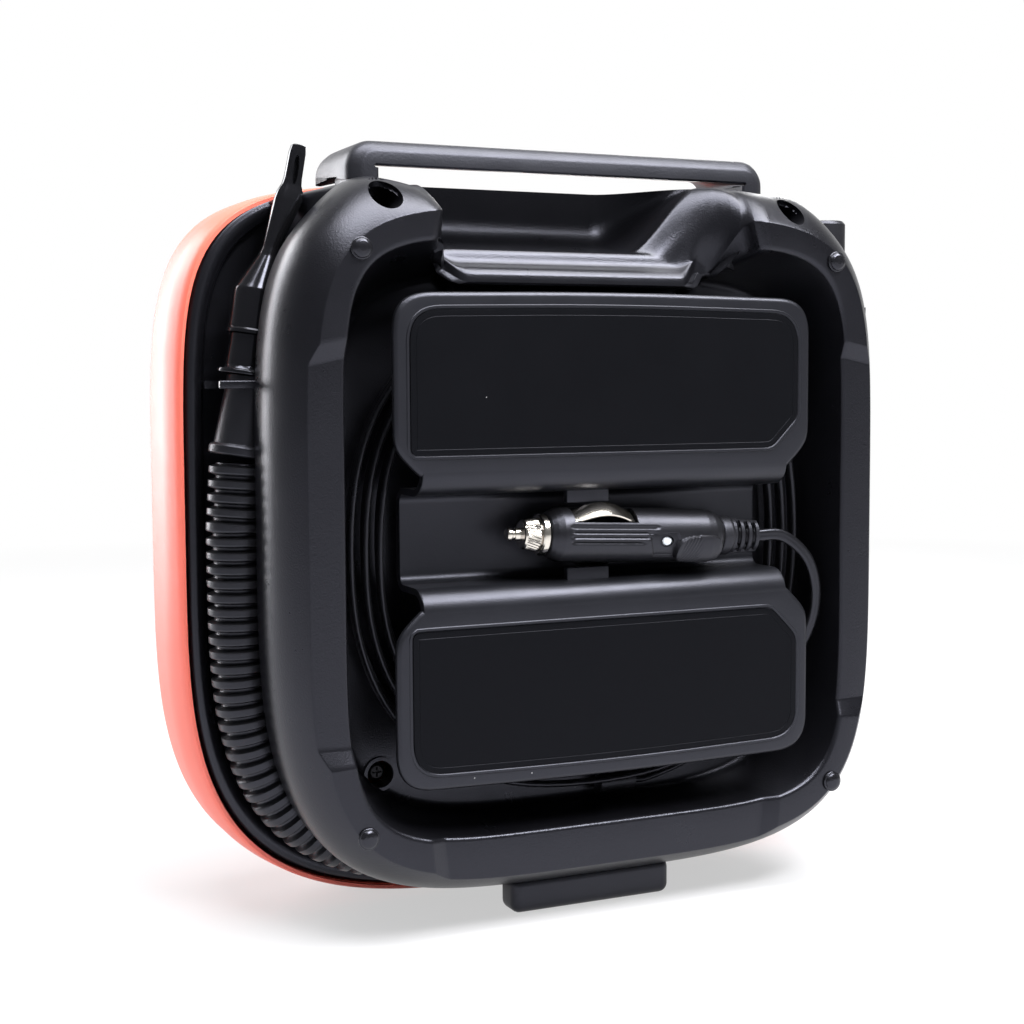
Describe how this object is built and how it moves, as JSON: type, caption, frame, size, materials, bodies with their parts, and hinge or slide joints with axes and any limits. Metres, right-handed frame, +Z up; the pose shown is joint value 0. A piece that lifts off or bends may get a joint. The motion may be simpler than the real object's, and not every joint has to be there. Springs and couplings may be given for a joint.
{
  "type": "portable tire inflator",
  "caption": "Rounded portable tire inflator with carry handle, ribbed inflation hose in a side groove, and a rear cord bay holding a wound cord and vehicle accessory plug.",
  "frame": {"origin": "centre of the bounding box on the ground, under the foot and pads", "axes": "+Z up, -Y out of the control panel, +Y out of the cord bay, +X towards the ribbed hose"},
  "size_m": [0.312, 0.125, 0.299],
  "materials": {
    "orange_plastic": "satin moulded",
    "black_plastic": "fine textured",
    "slate_plastic": "fine textured",
    "gloss_black": "polished",
    "black_rubber": "matte",
    "nickel": "plated",
    "steel": "plain",
    "alloy": "cast",
    "white_nylon": "plain",
    "board_green": "plain",
    "display": "clear over dark",
    "red_lens": "clear tint",
    "label": "printed film, left blank"
  },
  "bodies": {
    "case": {"front_shell": "orange_plastic", "mid_frame": "black_plastic", "rear_shell": "black_plastic", "control_panel": "black_plastic", "foot": "black_plastic", "hose_socket": "black_plastic", "air_elbow": "black_plastic", "chuck_body": "black_plastic", "blower_housing": "black_plastic", "cord_spool": "slate_plastic", "nozzle_adapter": "gloss_black", "handle": "black_rubber", "front_pad_left": "black_rubber", "front_pad_right": "black_rubber", "bumper_top_left": "black_rubber", "bumper_top_right": "black_rubber", "bumper_bottom_left": "black_rubber", "bumper_bottom_right": "black_rubber", "ribbed_hose": "black_rubber", "hose_cuff": "black_rubber", "air_hose": "black_rubber", "chuck_seal": "black_rubber", "cord_winding": "black_rubber", "cord_lead": "black_rubber", "cord_gland": "black_rubber", "plug_body": "black_rubber", "plug_strain_relief": "black_rubber", "outlet_tube": "black_rubber", "plug_nut": "nickel", "case_screw_top_left": "steel", "case_screw_top_right": "steel", "case_screw_bottom_left": "steel", "case_screw_bottom_right": "steel", "chuck_pin": "steel", "motor": "steel", "blower_motor": "steel", "compressor_frame": "alloy", "cylinder": "alloy", "cylinder_head": "alloy", "control_board": "board_green", "display_lens": "display", "display_module": "display", "plug_fuse": "display", "plug_lamp": "red_lens", "label_upper": "label", "label_lower": "label"},
    "power_button": {"power_button": "black_plastic"},
    "minus_button": {"minus_button": "black_plastic"},
    "plus_button": {"plus_button": "black_plastic"},
    "mode_knob": {"mode_knob": "black_plastic"},
    "plug_pin": {"plug_pin": "nickel"},
    "plug_contact_upper": {"plug_contact_upper": "nickel"},
    "plug_contact_lower": {"plug_contact_lower": "nickel"},
    "chuck_lever": {"chuck_lever": "black_plastic"},
    "crank_gear": {"crank_gear": "white_nylon"},
    "drive_pinion": {"drive_pinion": "steel"},
    "impeller": {"impeller": "white_nylon"},
    "piston_rod": {"piston_rod": "alloy"},
    "nozzle": {"nozzle": "gloss_black"}
  },
  "joints": [
    {"name": "power_press", "type": "slide", "parent": "case", "child": "power_button", "axis": [0, 1, 0], "range_m": [0, 0.0012], "stiffness_N_per_m": 900},
    {"name": "minus_press", "type": "slide", "parent": "case", "child": "minus_button", "axis": [0, 1, 0], "range_m": [0, 0.0012], "stiffness_N_per_m": 900},
    {"name": "plus_press", "type": "slide", "parent": "case", "child": "plus_button", "axis": [0, 1, 0], "range_m": [0, 0.0012], "stiffness_N_per_m": 900},
    {"name": "mode_turn", "type": "hinge", "parent": "case", "child": "mode_knob", "pos_m": [0, -0.061, 0.105], "axis": [0, 1, 0], "range_deg": [-45, 45]},
    {"name": "pin_press", "type": "slide", "parent": "case", "child": "plug_pin", "axis": [-0.9989, 0, -0.0471], "range_m": [0, 0.003], "stiffness_N_per_m": 900},
    {"name": "contact_upper_press", "type": "slide", "parent": "case", "child": "plug_contact_upper", "axis": [0.0386, -0.5736, -0.8182], "range_m": [0, 0.0015], "stiffness_N_per_m": 1500},
    {"name": "contact_lower_press", "type": "slide", "parent": "case", "child": "plug_contact_lower", "axis": [-0.0386, 0.5736, 0.8182], "range_m": [0, 0.0015], "stiffness_N_per_m": 1500},
    {"name": "lever_swing", "type": "hinge", "parent": "case", "child": "chuck_lever", "pos_m": [-0.1407, 0.0127, 0.236], "axis": [0, 1, 0], "range_deg": [0, 90]},
    {"name": "crank_spin", "type": "hinge", "parent": "case", "child": "crank_gear", "pos_m": [0.0198, -0.018, 0.133], "axis": [0, 0, 1], "continuous": true},
    {"name": "motor_spin", "type": "hinge", "parent": "case", "child": "drive_pinion", "pos_m": [0.048, -0.018, 0.133], "axis": [0, 0, 1], "continuous": true},
    {"name": "impeller_spin", "type": "hinge", "parent": "case", "child": "impeller", "pos_m": [-0.05, 0.01, 0.09], "axis": [0, 1, 0], "continuous": true},
    {"name": "piston_stroke", "type": "slide", "parent": "case", "child": "piston_rod", "axis": [1, 0, 0], "range_m": [0, 0.016]},
    {"name": "nozzle_pull", "type": "slide", "parent": "case", "child": "nozzle", "axis": [-0.165, 0, 0.9863], "range_m": [0, 0.012]}
  ],
  "couplings": [
    {"joint": "motor_spin", "follows": "crank_spin", "ratio": -3.6667}
  ]
}
